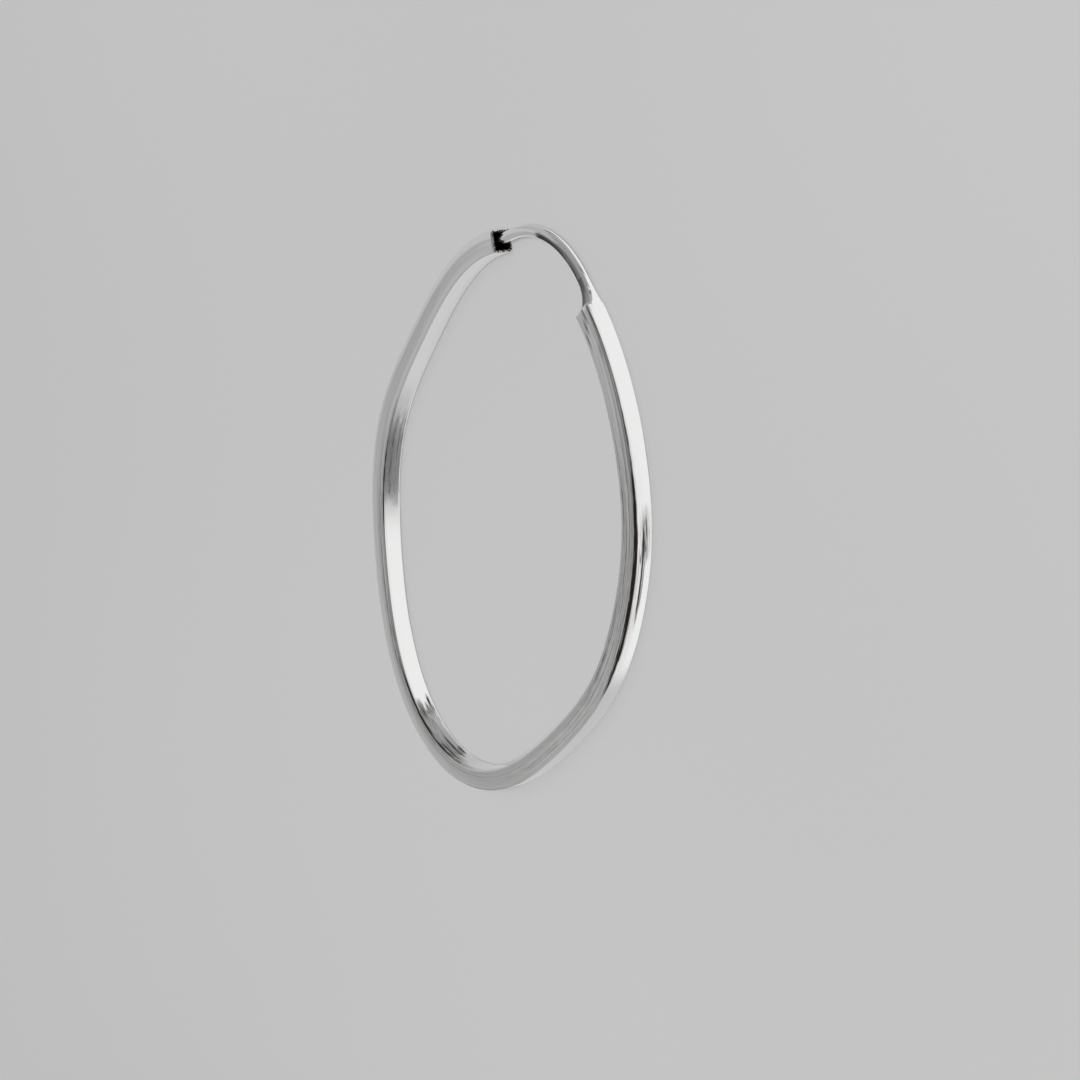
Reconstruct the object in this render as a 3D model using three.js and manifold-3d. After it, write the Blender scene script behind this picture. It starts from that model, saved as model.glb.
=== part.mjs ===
// An oval hoop earring of square silver tube. A round ear wire is soldered to one end of the tube,
// arches over the gap and slips into the open other end.
// Millimetres, +Z up. The hoop lies on its side with its ear wire towards +Y, centred over the origin.

import * as THREE from 'three';
import Module from 'manifold-3d';

const wasm = await Module();
wasm.setup();

// Sizes of the wire and of the tube that takes it

const WIRE_DIAMETER = 0.8;
const WIRE_PLAY = 0.2; // clearance between the wire and each wall of the bore
const TUBE_WALL = 0.2;
const BORE_SIDE = WIRE_DIAMETER + 2 * WIRE_PLAY;
const TUBE_SIDE = BORE_SIDE + 2 * TUBE_WALL;
const TUBE_CORNER = 0.17; // outside radius of the tube's long corners
const BORE_CORNER = 0.05;

// Sizes of the loop, outside the tube and without the ear wire

const LOOP_WIDTH = 30.9; // along X
const LOOP_LENGTH = 43.1; // along Y

// How the loop departs from a circle: each wave swells and narrows it this many times in one turn.
// Its share is of the mean radius, and its crest is in degrees from +X towards +Y.

const LOOP_WAVES = [
  { times: 2, share: 0.172, crest: 87 }, // longer along Y
  { times: 3, share: 0.014, crest: 3 }, // one flank fuller
  { times: 4, share: 0.041, crest: 1.5 }, // flatter shoulders
  { times: 5, share: 0.011, crest: 41 },
  { times: 6, share: 0.006, crest: 33 },
];

// Where the tube is cut off, in degrees round the loop from +X towards +Y

const SOLDERED_END = 76.5;
const OPEN_END = 107.3;

// The ear wire

const WIRE_BOW = 0.92; // how far it stands outside the loop's own line, half way over the gap
const BOW_ROUNDING = 1.35; // above 1, the bow starts and ends without a kink
const WIRE_REACH = 4; // length inside the open end
const OUTER_INSET = 0.2; // from the tube's outer face to the wire, at the soldered end
const LOWER_INSET = 0.05; // from the tube's lower face to the wire, at the soldered end

// The solder that joins them

const SOLDER_LENGTH = 1.3; // the part that flares from the wire to the tube's end
const SOLDER_DEPTH = 1.5; // the part that closes the tube's end
const BARE_STRIP = 0.44; // width of the cut end that it leaves bare, on the inner and the upper side
const FOOT_POWER = 0.6; // below 1, the foot of the flare is squarer than a circle

// How finely curves are divided

const TUBE_STEP = 1; // length of one facet along the tube
const WIRE_STEP = 0.5;
const CORNER_POINTS = 3;
const ROUND_POINTS = 12;
const TIP_RINGS = 3;
const FLARE_RINGS = 6; // from the foot of the solder to its thin end
const OUTLINE_SAMPLES = 720;
const WALK_STEPS = 40; // in which a distance round the loop is walked off

// The line that the middle of the tube follows, seen from above

const TURN = 2 * Math.PI;
const radians = THREE.MathUtils.degToRad;

function unitOutline(turn) {
  let radius = 1;
  for (const { times, share, crest } of LOOP_WAVES) {
    radius += share * Math.cos(times * (turn - radians(crest)));
  }
  return new THREE.Vector2(radius * Math.cos(turn), radius * Math.sin(turn));
}

const samples = Array.from({ length: OUTLINE_SAMPLES }, (_, i) => unitOutline((TURN * i) / OUTLINE_SAMPLES));
const unitSize = new THREE.Box2().setFromPoints(samples).getSize(new THREE.Vector2());
const outlineScale = new THREE.Vector2(LOOP_WIDTH - TUBE_SIDE, LOOP_LENGTH - TUBE_SIDE).divide(unitSize);

function centreLine(turn) {
  return unitOutline(turn).multiply(outlineScale);
}

function velocity(turn) {
  const half = TURN / OUTLINE_SAMPLES / 2;
  return centreLine(turn + half).sub(centreLine(turn - half)).divideScalar(2 * half);
}

// The turn that lies a distance further round the loop

function advance(turn, distance) {
  let reached = turn;
  for (let i = 0; i < WALK_STEPS; i += 1) {
    reached += distance / WALK_STEPS / velocity(reached).length();
  }
  return reached;
}

function distanceBetween(start, end) {
  const step = (end - start) / OUTLINE_SAMPLES;
  let length = 0;
  for (let i = 0; i < OUTLINE_SAMPLES; i += 1) {
    length += velocity(start + (i + 0.5) * step).length() * step;
  }
  return length;
}

// Sections, with x pointing out of the loop and y up

function roundedSquare(side, corner) {
  const points = [];
  for (let quarter = 0; quarter < 4; quarter += 1) {
    const middle = (quarter + 0.5) * (TURN / 4);
    const reach = (side / 2 - corner) * Math.SQRT2;
    for (let i = 0; i < CORNER_POINTS; i += 1) {
      const angle = (quarter + i / (CORNER_POINTS - 1)) * (TURN / 4);
      points.push(
        new THREE.Vector2(
          reach * Math.cos(middle) + corner * Math.cos(angle),
          reach * Math.sin(middle) + corner * Math.sin(angle),
        ),
      );
    }
  }
  return points;
}

function roundSection(diameter, power) {
  const stretch = (value) => (Math.sign(value) * Math.abs(value) ** power * diameter) / 2;
  return Array.from({ length: ROUND_POINTS }, (_, i) => {
    const angle = ((i + 0.5) / ROUND_POINTS) * TURN;
    return new THREE.Vector2(stretch(Math.cos(angle)), stretch(Math.sin(angle)));
  });
}

// One ring of a loft: a section set across the loop at a turn, moved outwards and up from the loop's line

function ringAt(turn, section, outwards = 0, upwards = 0) {
  const centre = centreLine(turn);
  const along = velocity(turn).normalize();
  const out = new THREE.Vector2(along.y, -along.x);
  return section.map(({ x, y }) => {
    const place = centre.clone().addScaledVector(out, outwards + x);
    return new THREE.Vector3(place.x, place.y, TUBE_SIDE / 2 + upwards + y);
  });
}

// A closed solid through rings that follow each other round the loop

function loft(rings) {
  const count = rings[0].length;
  const faces = [];
  for (let ring = 0; ring + 1 < rings.length; ring += 1) {
    for (let i = 0; i < count; i += 1) {
      const here = ring * count + i;
      const next = ring * count + ((i + 1) % count);
      faces.push(here, here + count, next + count);
      faces.push(here, next + count, next);
    }
  }
  const last = (rings.length - 1) * count;
  for (let i = 1; i + 1 < count; i += 1) {
    faces.push(0, i, i + 1);
    faces.push(last, last + i + 1, last + i);
  }
  const vertices = rings.flat().flatMap((point) => point.toArray());
  const mesh = new wasm.Mesh({
    numProp: 3,
    vertProperties: new Float32Array(vertices),
    triVerts: new Uint32Array(faces),
  });
  return new wasm.Manifold(mesh);
}

function evenTurns(start, end, step) {
  const count = Math.ceil(distanceBetween(start, end) / step);
  return Array.from({ length: count + 1 }, (_, i) => start + ((end - start) * i) / count);
}

// The tube, from its open end round to its soldered end

const openEnd = radians(OPEN_END);
const solderedEnd = radians(SOLDERED_END);

function makeTube() {
  const outside = roundedSquare(TUBE_SIDE, TUBE_CORNER);
  return loft(evenTurns(openEnd, solderedEnd + TURN, TUBE_STEP).map((turn) => ringAt(turn, outside)));
}

// The bore runs out of the open end and stops short of the soldered end

function makeBore() {
  const section = roundedSquare(BORE_SIDE, BORE_CORNER);
  const bottom = advance(solderedEnd + TURN, -SOLDER_DEPTH);
  const turns = evenTurns(openEnd, bottom, TUBE_STEP);
  const mouth = advance(openEnd, -TUBE_WALL);
  return loft([mouth, ...turns].map((turn) => ringAt(turn, section)));
}

// The wire's own line: over the gap it goes from its seat on the soldered end to the middle of the bore

const seatOutwards = (TUBE_SIDE - WIRE_DIAMETER) / 2 - OUTER_INSET;
const seatUpwards = LOWER_INSET - (TUBE_SIDE - WIRE_DIAMETER) / 2;

function wireOffset(turn) {
  const share = THREE.MathUtils.clamp((turn - solderedEnd) / (openEnd - solderedEnd), 0, 1);
  const bow = WIRE_BOW * (4 * share * (1 - share)) ** BOW_ROUNDING;
  return {
    outwards: THREE.MathUtils.lerp(seatOutwards, WIRE_PLAY / 2, share) + bow,
    upwards: THREE.MathUtils.lerp(seatUpwards, 0, share),
  };
}

function wireRing(turn, diameter) {
  const { outwards, upwards } = wireOffset(turn);
  return ringAt(turn, roundSection(diameter, 1), outwards, upwards);
}

function makeWire() {
  const start = advance(solderedEnd, -SOLDER_DEPTH / 2);
  const end = advance(openEnd, WIRE_REACH);
  const rings = evenTurns(start, end, WIRE_STEP).map((turn) => wireRing(turn, WIRE_DIAMETER));
  for (let i = 1; i <= TIP_RINGS; i += 1) {
    const slope = (i / (TIP_RINGS + 1)) * (TURN / 4);
    const turn = advance(end, (WIRE_DIAMETER / 2) * Math.sin(slope));
    rings.push(wireRing(turn, WIRE_DIAMETER * Math.cos(slope)));
  }
  return loft(rings);
}

// The solder flares from the wire down to a squarer foot on the tube's end, flush with the outer and lower faces

function makeSolder() {
  const foot = TUBE_SIDE - BARE_STRIP;
  const rings = [];
  for (let i = -1; i <= FLARE_RINGS; i += 1) {
    const share = Math.max(i, 0) / FLARE_RINGS;
    const flare = (1 - share) ** 2;
    const turn = advance(solderedEnd, i < 0 ? -SOLDER_DEPTH / 2 : share * SOLDER_LENGTH);
    const { outwards, upwards } = wireOffset(turn);
    const section = roundSection(
      THREE.MathUtils.lerp(WIRE_DIAMETER, foot, flare),
      THREE.MathUtils.lerp(1, FOOT_POWER, flare),
    );
    rings.push(
      ringAt(
        turn,
        section,
        THREE.MathUtils.lerp(outwards, BARE_STRIP / 2, flare),
        THREE.MathUtils.lerp(upwards, -BARE_STRIP / 2, flare),
      ),
    );
  }
  return loft(rings);
}

// Soldered metal is one solid

const solid = makeTube().subtract(makeBore()).add(makeSolder()).add(makeWire());
const { vertProperties, triVerts } = solid.getMesh();

const geometry = new THREE.BufferGeometry();
geometry.setAttribute('position', new THREE.BufferAttribute(vertProperties, 3));
geometry.setIndex(new THREE.BufferAttribute(triVerts, 1));
geometry.computeVertexNormals();
geometry.computeBoundingBox();
const middle = geometry.boundingBox.getCenter(new THREE.Vector3());

const silver = new THREE.MeshStandardMaterial({ color: 0xe6e6e4, roughness: 0.12, metalness: 1 });
const hoop = new THREE.Mesh(geometry, silver);
hoop.name = 'hoop';
hoop.position.set(-middle.x, -middle.y, -geometry.boundingBox.min.z);

const earring = new THREE.Group();
earring.add(hoop);

export default earring;
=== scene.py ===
"""A hoop earring of square silver tube, lying on its side on a pale floor.

The tube, its ear wire and the solder between them are swept in code.
They stand for the frame's one soldered solid.
Metres, +Z up, in the frame's own axes.
"""

import bpy
import numpy as np
from mathutils import Matrix, Vector


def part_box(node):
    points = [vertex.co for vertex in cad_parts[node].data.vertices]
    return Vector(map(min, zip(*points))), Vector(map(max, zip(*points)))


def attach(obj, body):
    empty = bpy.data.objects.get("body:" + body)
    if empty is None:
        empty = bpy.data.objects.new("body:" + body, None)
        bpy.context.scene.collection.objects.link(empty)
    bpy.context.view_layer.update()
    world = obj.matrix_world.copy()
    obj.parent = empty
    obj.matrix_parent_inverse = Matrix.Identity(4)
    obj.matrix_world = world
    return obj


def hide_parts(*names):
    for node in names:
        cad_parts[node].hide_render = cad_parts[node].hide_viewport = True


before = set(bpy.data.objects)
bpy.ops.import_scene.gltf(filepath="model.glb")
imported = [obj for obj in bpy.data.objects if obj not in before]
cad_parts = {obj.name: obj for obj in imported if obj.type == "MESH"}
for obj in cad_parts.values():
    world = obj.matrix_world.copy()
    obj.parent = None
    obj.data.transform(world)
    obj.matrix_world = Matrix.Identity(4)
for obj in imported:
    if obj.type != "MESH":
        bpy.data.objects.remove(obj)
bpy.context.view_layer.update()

MM = 0.001

# Sizes of the tube and its loop

hoop_low, hoop_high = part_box("hoop")
TUBE_SIDE = hoop_high.z - hoop_low.z
TUBE_WALL = 0.2 * MM
TUBE_CORNER = 0.17 * MM
SIDE_CROWN = 0.030 * MM  # how far the middle of the flat sides stands proud of their edges
RIM_CROWN = 0.010 * MM  # the same for the outer and the inner face
LEAN = np.radians(2)  # how far the outer face leans down
BORE_CORNER = 0.05 * MM
LOOP_WIDTH = 30.9 * MM
LOOP_LENGTH = 43.1 * MM

# How the loop departs from a circle: times round, share of the mean radius,
# and crest in degrees from +X towards +Y

LOOP_WAVES = [
    (2, 0.172, 87),
    (3, 0.014, 3),
    (4, 0.041, 1.5),
    (5, 0.011, 41),
    (6, 0.006, 33),
]
SOLDERED_END = np.radians(76.5)
OPEN_END = np.radians(107.3)
FULL_TURN = 2 * np.pi

# The ear wire and the solder at its foot

WIRE_DIAMETER = 0.8 * MM
WIRE_PLAY = 0.2 * MM  # clearance between the wire and each wall of the bore
WIRE_BOW = 0.92 * MM  # how far it stands outside the loop's own line, half way over the gap
BOW_ROUNDING = 1.35  # above 1, the bow starts and ends without a kink
WIRE_REACH = 4 * MM  # length inside the open end
OUTER_INSET = 0.2 * MM  # from the tube's outer face to the wire, at the soldered end
LOWER_INSET = 0.05 * MM  # from the tube's lower face to the wire, at the soldered end
SOLDER_LENGTH = 2 * MM
SOLDER_DEPTH = 1.5 * MM
BARE_INNER_STRIP = 0.44 * MM  # width of the cut end that the solder leaves bare, on the inner side
BARE_UPPER_STRIP = 0.16 * MM  # the same on the upper side
FOOT_POWER = 0.4  # below 1, the foot of the solder is squarer than a circle
FILED_POWER = 1.2  # above 1, how soon the filed sides leave the tube's faces
HOLLOW_POWER = 2.6  # the same for the hollow sides
BEAD = 0.10 * MM

# How finely the surfaces are divided

OUTLINE_SAMPLES = 1441
LINE_SAMPLES = 9001
LINE_MARGIN = 0.3  # angle by which the loop's line runs on past the soldered end, both ways
TUBE_STEP = 0.2 * MM
BORE_STEP = 1 * MM
WIRE_STEP = 0.12 * MM
FACE_POINTS = 21
CORNER_POINTS = 7
ROUND_POINTS = 36
SOLDER_RINGS = 40
TIP_SLOPES = (20, 40, 60, 75, 85)  # degrees at which the wire's round tip has its rings
EDGE = 0.03 * MM  # rounding of the cut ends
SHARP_ANGLE = np.radians(50)

# The line that the middle of the tube follows


def unit_outline(turn):
    waves = sum(share * np.cos(times * (turn - np.radians(crest))) for times, share, crest in LOOP_WAVES)
    radius = 1 + waves
    return np.stack([radius * np.cos(turn), radius * np.sin(turn)], axis=-1)


whole = unit_outline(np.linspace(0, FULL_TURN, OUTLINE_SAMPLES))
outline_scale = np.array([LOOP_WIDTH - TUBE_SIDE, LOOP_LENGTH - TUBE_SIDE]) / np.ptp(whole, axis=0)

turns = np.linspace(SOLDERED_END - LINE_MARGIN, SOLDERED_END + FULL_TURN + LINE_MARGIN, LINE_SAMPLES)
line = unit_outline(turns) * outline_scale
lengths = np.concatenate([[0], np.cumsum(np.linalg.norm(np.diff(line, axis=0), axis=1))])
tangents = np.gradient(line, lengths, axis=0)


def length_at(turn):
    return np.interp(turn, turns, lengths)


def turn_at(length):
    return np.interp(length, lengths, turns)


wire_start = length_at(SOLDERED_END)
tube_start = length_at(OPEN_END)
tube_end = length_at(SOLDERED_END + FULL_TURN)


def read_at(length, values):
    return np.array([np.interp(length, lengths, values[:, axis]) for axis in (0, 1)])


def on_loop(length):
    """The place on the loop's line at a length along it, and the direction out of the loop there."""
    place = read_at(length, line)
    along = read_at(length, tangents)
    along /= np.linalg.norm(along)
    return place, np.array([along[1], -along[0]])


def ring(length, section, outwards=0.0, upwards=0.0):
    """A section set across the loop: its x points out of the loop and its y up."""
    place, out = on_loop(length)
    across = outwards + section[:, 0]
    return np.column_stack([place + across[:, None] * out, TUBE_SIDE / 2 + upwards + section[:, 1]])


# Sections


def turned(points, angle):
    cosine, sine = np.cos(angle), np.sin(angle)
    return points @ np.array([[cosine, sine], [-sine, cosine]])


# The faces of the tube, in the order of the section's points

FACES = range(4)
OUTER, UPPER, INNER, LOWER = FACES

across_face = np.linspace(-1, 1, FACE_POINTS)
corner_angles = np.linspace(0, np.pi / 2, CORNER_POINTS)[1:-1]

# Where each point lies round the section, with 1 from the middle of one face to the middle of the next

FACE_REACH = 0.42
corner_places = FACE_REACH + (1 - 2 * FACE_REACH) * corner_angles / (np.pi / 2)
face_places = np.append(FACE_REACH * across_face, corner_places)
section_places = np.concatenate([face + face_places for face in FACES])


def square_section(side, corner, height=lambda face, across: 0.0):
    """A rounded square, face by face from the outer one.

    Height is how far a face stands out at a place across it.
    """
    flat = side / 2 - corner
    heights = [height(face, across_face) * np.ones(FACE_POINTS) for face in FACES]
    points = []
    for face, here in enumerate(heights):
        beside = heights[(face + 1) % len(FACES)]
        plane = np.column_stack([side / 2 + here, across_face * flat])
        bend_x = flat + (corner + here[-1]) * np.cos(corner_angles)
        bend_y = flat + (corner + beside[0]) * np.sin(corner_angles)
        bend = np.column_stack([bend_x, bend_y])
        points.append(turned(np.vstack([plane, bend]), face * np.pi / 2))
    return np.vstack(points)


def round_section(diameters, power=1.0):
    angle = (np.arange(ROUND_POINTS) + 0.5) / ROUND_POINTS * FULL_TURN
    circle = np.column_stack([np.cos(angle), np.sin(angle)])
    return np.sign(circle) * np.abs(circle) ** power * np.array(diameters) / 2


# The relief of the tube's faces: a crown, long ripples from drawing the tube,
# and dents and grooves from bending it

SEED = 11
RIPPLES_PER_FACE = 5
RIPPLE_HEIGHT = {OUTER: 0.0010 * MM, UPPER: 0.0026 * MM, INNER: 0.0010 * MM, LOWER: 0.0026 * MM}
WAVES_ACROSS = (0.7, 3.2)  # how many waves of one ripple lie side by side on a face
RIPPLE_DRIFT = 35 * MM  # the shortest length in which a ripple moves aside by one wave
RELIEF_ROOM = 0.012 * MM  # how far the flat sides lie back for what stands proud of them

chance = np.random.default_rng(SEED)
ripples = [
    [
        {
            "across": chance.uniform(*WAVES_ACROSS),
            "along": chance.uniform(-1, 1) / RIPPLE_DRIFT,
            "start": chance.uniform(0, FULL_TURN),
        }
        for _ in range(RIPPLES_PER_FACE)
    ]
    for _ in FACES
]

# Turns in the tables from here on are in degrees. They go from the open end at 107 through 360, which is +X,
# to the soldered end at 436.
# Patches of small dents: the face, from and to which turn, how many, and their size and depth

DENT_PATCHES = [
    (OUTER, 381, 393, 46, 0.12 * MM, 0.0110 * MM),
    (OUTER, 393, 400, 8, 0.16 * MM, 0.0050 * MM),
    (OUTER, 368, 381, 10, 0.30 * MM, 0.0040 * MM),
    (INNER, 168, 186, 26, 0.16 * MM, 0.0070 * MM),
    (INNER, 201, 207, 12, 0.16 * MM, 0.0060 * MM),
    (INNER, 255, 276, 50, 0.18 * MM, 0.0110 * MM),
    (UPPER, 340, 362, 14, 0.35 * MM, 0.0060 * MM),
    (UPPER, 245, 330, 30, 0.45 * MM, 0.0040 * MM),
    (UPPER, 420, 436, 10, 0.26 * MM, 0.0080 * MM),
    (UPPER, 346, 352, 6, 0.12 * MM, 0.0110 * MM),
]
DENT_SPREAD = 0.9  # share of the face's half width over which dents lie
DENT_SIZES = (0.6, 1.5)  # smallest and largest, as shares of the patch's size
DENT_STRETCH = 2  # times longer along the tube than across
DENT_REACH = 4  # sizes along the tube, beyond which a dent is too faint to count

dents = []
for face, first, last, count, size, depth in DENT_PATCHES:
    for _ in range(count):
        place = length_at(np.radians(chance.uniform(first, last)))
        aside = chance.uniform(-DENT_SPREAD, DENT_SPREAD)
        own_size = size * chance.uniform(*DENT_SIZES)
        own_depth = depth * chance.uniform(-1, 1)
        dents.append((face, place, aside, own_size, own_depth))

# Grooves: the face, the turns that it passes and where across the face it lies there, its width and depth

GROOVES = [
    (OUTER, (363, 374, 387), (0.12, 0.0, -0.1), 0.09 * MM, 0.0140 * MM),
    (UPPER, (328, 350, 380, 415), (0.62, 0.72, 0.72, 0.62), 0.09 * MM, 0.0070 * MM),
    (UPPER, (405, 420, 432), (0.30, 0.10, -0.20), 0.10 * MM, 0.0080 * MM),
    (UPPER, (255, 275, 310, 335), (0.60, 0.50, 0.62, 0.55), 0.08 * MM, 0.0060 * MM),
]
GROOVE_FADE = 1.5 * MM  # length in which a groove's ends run out


def relief(face, across, length):
    """How far a face stands out at places across it, at a length along the loop."""
    flat_side = face in (UPPER, LOWER)
    height = -(SIDE_CROWN if flat_side else RIM_CROWN) * across**2 - RELIEF_ROOM * flat_side
    taper = 1 - across**2
    for ripple in ripples[face]:
        phase = FULL_TURN * (ripple["across"] * across / 2 + ripple["along"] * length) + ripple["start"]
        height += RIPPLE_HEIGHT[face] * np.cos(phase) * taper / ripple["across"] ** 0.5
    half_face = TUBE_SIDE / 2 - TUBE_CORNER
    for dent_face, place, aside, size, depth in dents:
        if dent_face == face and abs(length - place) < DENT_REACH * size:
            along = (length - place) / (DENT_STRETCH * size)
            distance = along**2 + ((across - aside) * half_face / size) ** 2
            height += depth * np.exp(-distance) * taper
    for groove_face, groove_turns, asides, width, depth in GROOVES:
        ends = length_at(np.radians(groove_turns))
        if groove_face == face and ends[0] < length < ends[-1]:
            aside = np.interp(length, ends, asides)
            fade = np.clip(min(length - ends[0], ends[-1] - length) / GROOVE_FADE, 0, 1)
            height -= depth * fade * np.exp(-(((across - aside) * half_face / width) ** 2))
    return height


# Painted shade and painted dark reflections, and dark smudges, in bands along the tube.
# Each band: where round the section it lies, its half width there,
# and its strength by turn. Round the section 0 is the middle of the outer face, 1 of the upper,
# 2 of the inner and 3 of the lower one.

SHADE_AND_SMUDGE_BANDS = [
    (0.50, 0.09, ((338, 0), (352, 1), (365, 1), (382, 0.9), (400, 0.8), (420, 0.5), (436, 0.5))),
    (0.40, 0.06, ((352, 0), (356, 0.9), (378, 0.9), (386, 0.3), (390, 0))),
    (0.03, 0.055, ((361, 0), (366, 0.7), (374, 1.2), (384, 1.3), (388, 0.6), (391, 0))),
    (0.55, 0.04, ((262, 0), (268, 0.25), (290, 0.25), (300, 0))),
    (-0.10, 0.25, ((380, 0), (384, 0.45), (391, 0.45), (395, 0))),
    (
        1.00,
        0.60,
        ((275, 0), (300, 0.14), (335, 0.2), (350, 0.2), (365, 0.28), (400, 0.26), (412, 0.06), (418, 0)),
    ),
    (1.27, 0.05, ((335, 0), (345, 0.3), (355, 0.4), (400, 0.4), (410, 0.1), (420, 0))),
    (1.33, 0.20, ((176, 0), (195, 0.15), (206, 0.35), (245, 0.4), (258, 0.3), (268, 0.08), (275, 0))),
    (1.50, 0.07, ((392, 0), (400, 0.3), (430, 0.4), (436, 0.3))),
    (1.33, 0.03, ((248, 0), (262, 0.35), (285, 0.3), (310, 0.15), (330, 0))),
    (1.52, 0.07, ((168, 0), (176, 0.5), (206, 0.5), (214, 0), (245, 0), (252, 0.6), (274, 0.6), (280, 0))),
    (1.18, 0.03, ((255, 0), (268, 0.3), (290, 0.3), (305, 0))),
    (2.00, 0.50, ((172, 0), (184, 0.2), (202, 0.24), (203, 0))),
    (1.86, 0.06, ((172, 0), (182, 0.35), (202, 0.35), (203.5, 0))),
    (2.16, 0.05, ((176, 0), (186, 0.35), (203, 0.4), (204, 0))),
    (1.75, 0.10, ((253, 0), (255, 1.2), (257, 1), (259, 0.3), (264, 0.4), (268, 1.1), (272, 0.9), (276, 0))),
    (2.05, 0.06, ((254, 0), (256, 0.9), (258, 0), (263, 0), (268, 1), (271, 0.7), (273, 0))),
    (2.28, 0.08, ((252.5, 0), (254, 1.2), (256, 0.4), (258, 0), (267, 0), (269.5, 1.2), (271.5, 0))),
    (2.00, 0.40, ((256, 0), (259, 0.22), (267, 0.22), (269, 0))),
    (0.90, 0.06, ((433, 0), (435, 0.9), (437, 0.9))),
    (1.08, 0.06, ((431, 0), (433, 0.9), (435, 0.1))),
    (1.27, 0.06, ((428, 0), (431, 0.8), (433, 0))),
]


def by_turn(stops, length):
    """A strength that follows stops of (turn, strength), at a length along the loop."""
    return np.interp(np.degrees(turn_at(length)), *zip(*stops))


def painted_shade_and_smudges(length):
    """How dark each point of the outside is painted, with painted shade, painted dark reflections and
    smudges, in the order of the section's points.
    """
    strength = 0
    for place, half_width, stops in SHADE_AND_SMUDGE_BANDS:
        apart = (section_places - place + 2) % len(FACES) - 2
        strength = strength + by_turn(stops, length) * np.exp(-((apart / half_width) ** 2))
    return strength


# Meshes


def skin(name, rows):
    """A closed mesh through rows of (ring, grain, darkness).

    Grain is where each point lies along and across the metal, and darkness how dark it is painted: painted
    shade, painted dark reflections and smudges.
    """
    rings, grain, painted_dark = zip(*rows)
    count = len(rings[0])
    faces = []
    for row in range(len(rings) - 1):
        here = row * count + np.arange(count)
        beside = row * count + (np.arange(count) + 1) % count
        faces += np.column_stack([here, here + count, beside + count, beside]).tolist()
    last = (len(rings) - 1) * count
    faces.append(list(range(count)))
    faces.append(list(range(last + count - 1, last - 1, -1)))
    mesh = bpy.data.meshes.new(name)
    mesh.from_pydata(np.vstack(rings).tolist(), [], faces)
    grain_values = mesh.attributes.new("grain", "FLOAT_VECTOR", "POINT").data
    grain_values.foreach_set("vector", np.vstack(grain).ravel())
    # painted darkness: painted shade, painted dark reflections and smudges
    painted_dark_values = mesh.attributes.new("painted_dark", "FLOAT", "POINT").data
    painted_dark_values.foreach_set("value", np.concatenate(painted_dark))
    mesh.shade_smooth()
    mesh.set_sharp_from_angle(angle=SHARP_ANGLE)
    piece = bpy.data.objects.new(name, mesh)
    bpy.context.scene.collection.objects.link(piece)
    return piece


def grain_of(length, section):
    return np.column_stack([np.full(len(section), length), section])


# Painted shade fills the bore: its inside is painted dark all over. The cut rim of the open end is painted
# somewhat darker.
BORE_PAINTED_SHADE = 2  # above 1, it is dark all over
RIM_DARKNESS = 0.5


def make_tube():
    """From the closed end of the bore out to the open end, and back over the outside to the soldered end."""

    def outer(length, inset=0.0):
        side = TUBE_SIDE - 2 * inset
        return square_section(side, TUBE_CORNER, lambda face, across: relief(face, across, length))

    bore_side = TUBE_SIDE - 2 * TUBE_WALL
    bore = square_section(bore_side, BORE_CORNER)
    flared = square_section(bore_side + 2 * EDGE, BORE_CORNER)
    same = np.ones(len(section_places))
    bore_lengths = np.arange(tube_end - SOLDER_DEPTH, tube_start + BORE_STEP, -BORE_STEP)
    # the bore's inside painted dark as painted shade
    places = [(length, bore, BORE_PAINTED_SHADE * same) for length in bore_lengths]
    places.append((tube_start + EDGE, bore, BORE_PAINTED_SHADE * same))
    places.append((tube_start, flared, BORE_PAINTED_SHADE * same))
    places.append((tube_start, outer(tube_start, EDGE), RIM_DARKNESS * same))
    count = int((tube_end - tube_start - 2 * EDGE) / TUBE_STEP)
    # The outside is painted darker in bands of painted shade, painted dark reflections and smudges.
    for length in np.linspace(tube_start + EDGE, tube_end - EDGE, count):
        places.append((length, outer(length), painted_shade_and_smudges(length)))
    places.append((tube_end, outer(tube_end, EDGE / 4), painted_shade_and_smudges(tube_end)))
    rows = [
        (ring(length, turned(section, -LEAN)), grain_of(length, section), strength)
        for length, section, strength in places
    ]
    return skin("tube", rows)


# The wire's own line: over the gap it goes from its seat on the soldered end to the middle of the bore

seat_outwards = (TUBE_SIDE - WIRE_DIAMETER) / 2 - OUTER_INSET
seat_upwards = LOWER_INSET - (TUBE_SIDE - WIRE_DIAMETER) / 2


def wire_offset(length):
    share = np.clip((turn_at(length) - SOLDERED_END) / (OPEN_END - SOLDERED_END), 0, 1)
    bow = WIRE_BOW * (4 * share * (1 - share)) ** BOW_ROUNDING
    return seat_outwards + share * (WIRE_PLAY / 2 - seat_outwards) + bow, seat_upwards * (1 - share)


# A painted dark reflection along the wire: its strength by turn, and where it lies round the wire,
# in degrees from the outer side

WIRE_PAINTED_REFLECTION = ((76, 1.1), (86, 1.3), (89, 1.9), (94.5, 1.9), (96, 0))
PAINTED_DARK_PLACE = 110
REFLECTION_WIDTH = 30
# Painted shade in the solder's hollow: its width round the wire, and its strength
HOLLOW_SHADE_WIDTH = 60  # the same for the dark hollow of the solder
HOLLOW_PAINTED_SHADE = 0.78


# Where round the wire and the solder the painted reflection and the painted shade lie
def painted_dark_side(section, width):
    angle = np.degrees(np.arctan2(section[:, 1], section[:, 0]))
    return np.exp(-(((angle - PAINTED_DARK_PLACE) / width) ** 4))


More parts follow.
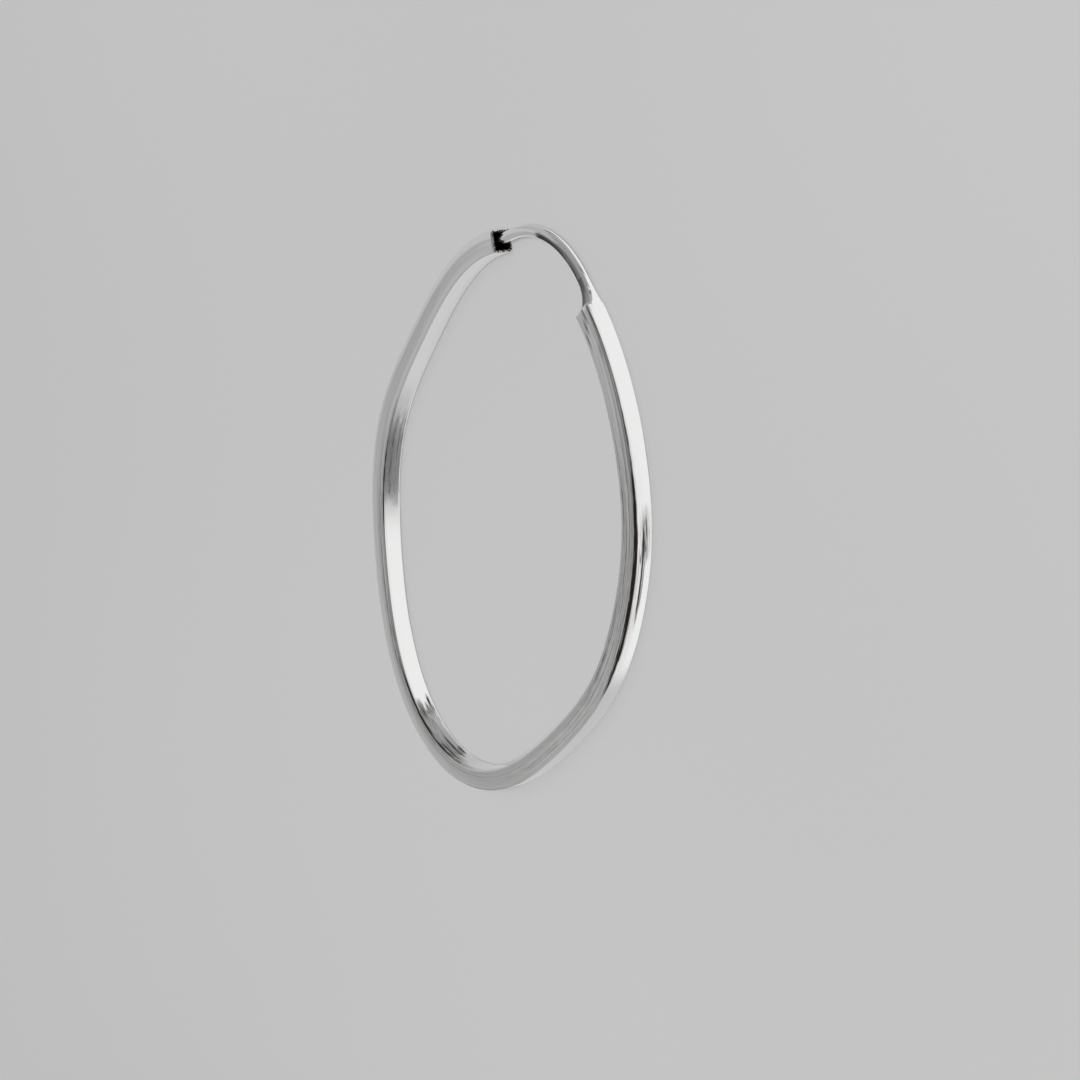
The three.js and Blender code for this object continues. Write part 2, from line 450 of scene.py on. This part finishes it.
def make_wire():
    start = wire_start - EDGE
    end = tube_start + WIRE_REACH
    count = int((end - start) / WIRE_STEP)
    places = [(length, WIRE_DIAMETER) for length in np.linspace(start, end, count)]
    for slope in np.radians(TIP_SLOPES):
        places.append((end + WIRE_DIAMETER / 2 * np.sin(slope), WIRE_DIAMETER * np.cos(slope)))
    rows = []
    for length, diameter in places:
        section = round_section((diameter, diameter))
        # the wire's painted dark reflection
        strength = by_turn(WIRE_PAINTED_REFLECTION, length) * painted_dark_side(section, REFLECTION_WIDTH)
        rows.append((ring(length, section, *wire_offset(length)), grain_of(length, section), strength))
    return skin("ear_wire", rows)


def make_solder():
    """Filed flush with the tube's outer and lower faces, and hollow with a bead at its foot on the other two.

    It has run smooth, so its grain is the same all over.
    """
    half_tube, half_wire = TUBE_SIDE / 2, WIRE_DIAMETER / 2
    rows = []
    for share in np.concatenate([[-1], np.linspace(0, 1, SOLDER_RINGS)]):
        length = wire_start + (share * SOLDER_LENGTH if share >= 0 else -2 * EDGE)
        left = 1 - max(share, 0)
        filed, hollow = left**FILED_POWER, left**HOLLOW_POWER
        bead = BEAD * np.exp(-(((length - wire_start - BEAD) / BEAD) ** 2))
        outwards, upwards = wire_offset(length)
        outer = outwards + half_wire + filed * (half_tube - outwards - half_wire)
        lower = upwards - half_wire - filed * (half_tube + upwards - half_wire)
        inner = outwards - half_wire - hollow * (outwards - half_wire + half_tube - BARE_INNER_STRIP) - bead
        upper = upwards + half_wire + hollow * (half_tube - BARE_UPPER_STRIP - upwards - half_wire) + bead
        section = round_section((outer - inner, upper - lower), 1 + left * (FOOT_POWER - 1))
        place = ring(length, turned(section, -LEAN * left), (outer + inner) / 2, (upper + lower) / 2)
        past_bead = np.clip((length - wire_start) / BEAD - 1, 0, 1)
        # painted shade in the solder's hollow, which leaves the bead bright
        strength = HOLLOW_PAINTED_SHADE * painted_dark_side(section, HOLLOW_SHADE_WIDTH) * past_bead
        rows.append((place, np.zeros((ROUND_POINTS, 3)), strength))
    return skin("solder", rows)


# Node helpers


class Nodes:
    """Short ways to add and link the nodes of one tree."""

    def __init__(self, tree):
        self.tree = tree
        tree.nodes.clear()

    def add(self, kind, settings=None, **inputs):
        node = self.tree.nodes.new(kind)
        for name, value in (settings or {}).items():
            setattr(node, name, value)
        for name, value in inputs.items():
            self.feed(node.inputs[name.replace("_", " ")], value)
        return node

    def feed(self, socket, value):
        if isinstance(value, bpy.types.NodeSocket):
            self.tree.links.new(value, socket)
        else:
            socket.default_value = value

    def maths(self, operation, *values):
        node = self.add("ShaderNodeMath", {"operation": operation})
        for socket, value in zip(node.inputs, values):
            self.feed(socket, value)
        return node.outputs[0]

    def spread(self, value, low, high, to_low=0.0, to_high=1.0, smooth=True):
        """Maps low to high onto to_low to to_high, and holds the ends."""
        kind = "SMOOTHSTEP" if smooth else "LINEAR"
        node = self.add("ShaderNodeMapRange", {"interpolation_type": kind})
        sockets = ("Value", "From Min", "From Max", "To Min", "To Max")
        for name, item in zip(sockets, (value, low, high, to_low, to_high)):
            self.feed(node.inputs[name], item)
        return node.outputs[0]

    def blend(self, share, first, second):
        """A number that goes from first to second as share goes from 0 to 1."""
        change = self.maths("SUBTRACT", second, first)
        return self.maths("ADD", first, self.maths("MULTIPLY", share, change))


# Materials. Of each noise in the silver, the lengths of its streaks along and across the metal

DRAW_LINES = (12 * MM, 0.08 * MM)
WAVES = (2.2 * MM, 0.7 * MM)
HAIR_LINES = (3 * MM, 0.02 * MM)
SMEARS = (1.2 * MM, 0.16 * MM)
WAVE_DEPTH = 0.004 * MM
DRAW_DEPTH = 0.0045 * MM
HAIR_DEPTH = 0.0004 * MM

# How much smears and draw lines weaken and strengthen the painted darkness

SMEAR_SHARES = (0.7, 1.25)
DRAW_SHARES = (0.3, 1.8)
CLEAN_SILVER = (0.925, 0.925, 0.92, 1)
# The colour where shade, dark reflections and smudges are painted
PAINTED_DARK_SILVER = (0.058, 0.043, 0.041, 1)
POLISHED_ROUGHNESS = (0.05, 0.11)
# The roughness where shade, dark reflections and smudges are painted
PAINTED_DARK_ROUGHNESS = 0.5

PAPER_GREYS = (0.585, 0.607)
PAPER_CLOUDS = 9.0  # how many to a metre
PAPER_ROUGHNESS = 0.9
PAPER_SHINE = 0.1

# Sockets of the colour Mix node

MIX_SHARE, MIX_FIRST, MIX_SECOND = 0, 6, 7
MIX_RESULT = 2


def grain_noise(nodes, size):
    """Noise in streaks of this length along and this width across the metal."""
    along, across = size
    where = nodes.add("ShaderNodeAttribute", {"attribute_name": "grain"}).outputs["Vector"]
    scaled = nodes.add("ShaderNodeVectorMath", {"operation": "MULTIPLY"})
    nodes.feed(scaled.inputs[0], where)
    nodes.feed(scaled.inputs[1], (1 / along, 1 / across, 1 / across))
    return nodes.add("ShaderNodeTexNoise", Vector=scaled.outputs[0], Scale=1.0, Detail=2.0).outputs["Fac"]


def polished_silver():
    """Polished by hand: fine scratches along the metal, faint waves, and darker, rougher silver where shade,
    dark reflections and smudges are painted.
    """
    material = bpy.data.materials.new("polished_silver")
    material.use_nodes = True
    nodes = Nodes(material.node_tree)
    draw_lines = grain_noise(nodes, DRAW_LINES)
    waves = grain_noise(nodes, WAVES)
    hair_lines = grain_noise(nodes, HAIR_LINES)
    bumps = None
    for height, depth in ((waves, WAVE_DEPTH), (draw_lines, DRAW_DEPTH), (hair_lines, HAIR_DEPTH)):
        bump = nodes.add("ShaderNodeBump", Height=height, Distance=depth, Strength=1.0)
        if bumps:
            nodes.feed(bump.inputs["Normal"], bumps)
        bumps = bump.outputs["Normal"]
    # Painted shade, painted dark reflections and smudges from the mesh, mixed into the colour and roughness
    painted_dark = nodes.add("ShaderNodeAttribute", {"attribute_name": "painted_dark"}).outputs["Fac"]
    smears = nodes.spread(grain_noise(nodes, SMEARS), 0.36, 0.6, *SMEAR_SHARES)
    uneven = nodes.maths("MULTIPLY", smears, nodes.spread(draw_lines, 0.35, 0.65, *DRAW_SHARES))
    patchy = nodes.spread(nodes.maths("MULTIPLY", painted_dark, uneven), 0, 1, smooth=False)
    colour = nodes.add("ShaderNodeMix", {"data_type": "RGBA"})
    nodes.feed(colour.inputs[MIX_SHARE], patchy)
    nodes.feed(colour.inputs[MIX_FIRST], CLEAN_SILVER)
    nodes.feed(colour.inputs[MIX_SECOND], PAINTED_DARK_SILVER)
    rough = nodes.spread(hair_lines, 0.3, 0.7, *POLISHED_ROUGHNESS)
    shader = nodes.add(
        "ShaderNodeBsdfPrincipled",
        Base_Color=colour.outputs[MIX_RESULT],
        Metallic=1.0,
        Roughness=nodes.blend(patchy, rough, PAINTED_DARK_ROUGHNESS),
        Normal=bumps,
    )
    nodes.add("ShaderNodeOutputMaterial", Surface=shader.outputs[0])
    return material


def floor_paper():
    material = bpy.data.materials.new("floor")
    material.use_nodes = True
    nodes = Nodes(material.node_tree)
    where = nodes.add("ShaderNodeTexCoord").outputs["Object"]
    cloud = nodes.add("ShaderNodeTexNoise", Vector=where, Scale=PAPER_CLOUDS, Detail=1.0).outputs["Fac"]
    grey = nodes.spread(cloud, 0.3, 0.7, *PAPER_GREYS)
    tint = nodes.add("ShaderNodeCombineColor", Red=grey, Green=grey, Blue=grey)
    shader = nodes.add("ShaderNodeBsdfPrincipled", Base_Color=tint.outputs[0], Roughness=PAPER_ROUGHNESS)
    nodes.feed(shader.inputs["Specular IOR Level"], PAPER_SHINE)
    nodes.add("ShaderNodeOutputMaterial", Surface=shader.outputs[0])
    return material


# The pieces

pieces = [make_tube(), make_wire(), make_solder()]
corners = np.array([vertex.co for piece in pieces for vertex in piece.data.vertices])
middle = (corners.min(axis=0) + corners.max(axis=0)) / 2
cad_middle = (hoop_low + hoop_high) / 2
onto_floor = (cad_middle.x - middle[0], cad_middle.y - middle[1], -corners[:, 2].min())
silver = polished_silver()
for piece in pieces:
    piece.data.transform(Matrix.Translation(onto_floor))
    piece.data.materials.append(silver)
    piece.visible_diffuse = False  # so that it casts no dark halo on the floor
    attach(piece, "root")
    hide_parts("hoop")

# The floor. What the metal reflects below the horizon is the studio and not the floor,
# as when it hangs in the air.

FLOOR_REACH = 1.5

floor_mesh = bpy.data.meshes.new("floor")
floor_corners = [(x * FLOOR_REACH, y * FLOOR_REACH, 0) for x, y in ((-1, -1), (1, -1), (1, 1), (-1, 1))]
floor_mesh.from_pydata(floor_corners, [], [(0, 1, 2, 3)])
floor = bpy.data.objects.new("floor", floor_mesh)
bpy.context.scene.collection.objects.link(floor)
floor_mesh.materials.append(floor_paper())
floor.visible_glossy = False
floor.visible_shadow = False

# The studio round the earring, as the metal sees it. First its level by elevation in degrees

LEVEL_BY_ELEVATION = [
    (-90, 0.54),
    (8, 0.51),
    (16, 0.48),
    (19, 0.46),
    (22, 0.45),
    (26, 0.43),
    (28.5, 0.37),
    (30.5, 0.34),
    (32.5, 0.37),
    (34.5, 0.47),
    (36.5, 0.49),
    (38.5, 0.43),
    (42, 0.43),
    (45, 0.41),
    (47, 0.30),
    (50, 0.22),
    (55, 0.18),
    (70, 0.16),
    (78, 0.45),
    (90, 0.50),
]
ZENITH = 90

# Then soft panels over that, in degrees. Each panel: its azimuths, its elevations, how soft its sides are
# and its upper and lower edges, and its level

STUDIO_PANELS = [
    ((130, 200), (-10, 50), 6, 8, 0.46),
    ((-200, -152), (-10, 50), 3, 8, 0.54),
    ((-132, -50), (0, 75), 6, 10, 0.42),
    ((-60, 140), (-16, 50), 20, 12, 0.33),
    ((-200, -70), (-95, -10), 20, 10, 0.56),
    ((-145, -60), (-33, -8), 10, 4, 0.64),
    ((-66, 122), (-95, -34), 20, 2, 0.90),
    ((100, 200), (-80, -37), 6, 3, 0.90),
    ((-12, 25), (-95, -54), 8, 4, 0.30),
    ((-3, 84), (-36, -14), 3, 6, 0.90),
    ((-43, -3), (-34, -8), 20, 2, 0.21),
    ((82, 90), (-34, -8), 5, 2, 0.20),
    ((90, 138), (-34, -8), 5, 2, 0.42),
    ((140, 150), (-36, -8), 5, 3, 0.20),
]


def studio():
    world = bpy.data.worlds.new("studio")
    world.use_nodes = True
    bpy.context.scene.world = world
    nodes = Nodes(world.node_tree)
    direction = nodes.add("ShaderNodeTexCoord").outputs["Generated"]
    parts = nodes.add("ShaderNodeSeparateXYZ", Vector=direction)
    x, y, z = (parts.outputs[axis] for axis in "XYZ")
    azimuth = nodes.maths("DEGREES", nodes.maths("ARCTAN2", y, x))
    elevation = nodes.maths("DEGREES", nodes.maths("ARCSINE", z))

    def between(value, low, high, soft):
        """1 from low to high and 0 outside, over soft edges."""
        rise = nodes.spread(value, low - soft / 2, low + soft / 2)
        fall = nodes.spread(value, high - soft / 2, high + soft / 2, 1.0, 0.0)
        return nodes.maths("MULTIPLY", rise, fall)

    def level_by_elevation():
        height = nodes.spread(elevation, -ZENITH, ZENITH, smooth=False)
        ramp = nodes.add("ShaderNodeValToRGB", Fac=height)
        elements = ramp.color_ramp.elements
        elements.remove(elements[1])
        for index, (place, level) in enumerate(LEVEL_BY_ELEVATION):
            share = (place + ZENITH) / (2 * ZENITH)
            element = elements[0] if index == 0 else elements.new(share)
            element.position = share
            element.color = (level, level, level, 1)
        return ramp.outputs["Color"]

    tone = level_by_elevation()
    for azimuths, elevations, soft_sides, soft_edges, level in STUDIO_PANELS:
        sideways = between(azimuth, *azimuths, soft_sides)
        upwards = between(elevation, *elevations, soft_edges)
        tone = nodes.blend(nodes.maths("MULTIPLY", sideways, upwards), tone, level)
    colour = nodes.add("ShaderNodeCombineColor", Red=tone, Green=tone, Blue=tone)
    background = nodes.add("ShaderNodeBackground", Color=colour.outputs[0], Strength=1.0)
    nodes.add("ShaderNodeOutputWorld", Surface=background.outputs[0])


studio()

# Soft lamps over the floor, which the metal doesn't reflect.
# Each lamp: its name, azimuth and elevation in degrees, distance, size and power

LAMPS = [
    ("lamp_by_the_camera", 38, 44, 1.6, 0.5, 14.4),
    ("lamp_overhead", 120, 75, 1.8, 1.8, 8.0),
]


def direction_to(azimuth, elevation):
    level = np.cos(elevation)
    return Vector((level * np.cos(azimuth), level * np.sin(azimuth), np.sin(elevation)))


def soft_lamp(name, azimuth, elevation, distance, size, power):
    data = bpy.data.lights.new(name, "AREA")
    data.shape = "DISK"
    data.size = size
    data.energy = power
    lamp = bpy.data.objects.new(name, data)
    lamp.location = direction_to(*np.radians([azimuth, elevation])) * distance
    lamp.rotation_euler = lamp.location.to_track_quat("Z", "Y").to_euler()
    lamp.visible_glossy = False
    bpy.context.scene.collection.objects.link(lamp)


for lamp_settings in LAMPS:
    soft_lamp(*lamp_settings)

# The camera at the photograph's angle to the earring

VIEW_AZIMUTH = np.radians(37.81)
VIEW_ELEVATION = np.radians(33.90)
VIEW_ROLL = np.radians(-102.08)
VIEW_DISTANCE = 248.7 * MM
VIEW_TARGET = Vector((4.18, 0.64, 0.8)) * MM
VIEW_LENS = 120
VIEW_SENSOR = 36
CLIP_START = 0.01
CLIP_END = 10

back = direction_to(VIEW_AZIMUTH, VIEW_ELEVATION)
level_right = Vector((0, 0, 1)).cross(back).normalized()
level_up = back.cross(level_right)
right = level_right * np.cos(VIEW_ROLL) + level_up * np.sin(VIEW_ROLL)
up = back.cross(right)
camera_data = bpy.data.cameras.new("camera")
camera_data.lens = VIEW_LENS
camera_data.sensor_width = VIEW_SENSOR
camera_data.clip_start = CLIP_START
camera_data.clip_end = CLIP_END
camera = bpy.data.objects.new("camera", camera_data)
facing = Matrix((right, up, back)).transposed().to_4x4()
camera.matrix_world = Matrix.Translation(VIEW_TARGET + back * VIEW_DISTANCE) @ facing
bpy.context.scene.collection.objects.link(camera)
bpy.context.scene.camera = camera

bpy.context.scene.view_settings.view_transform = "Standard"
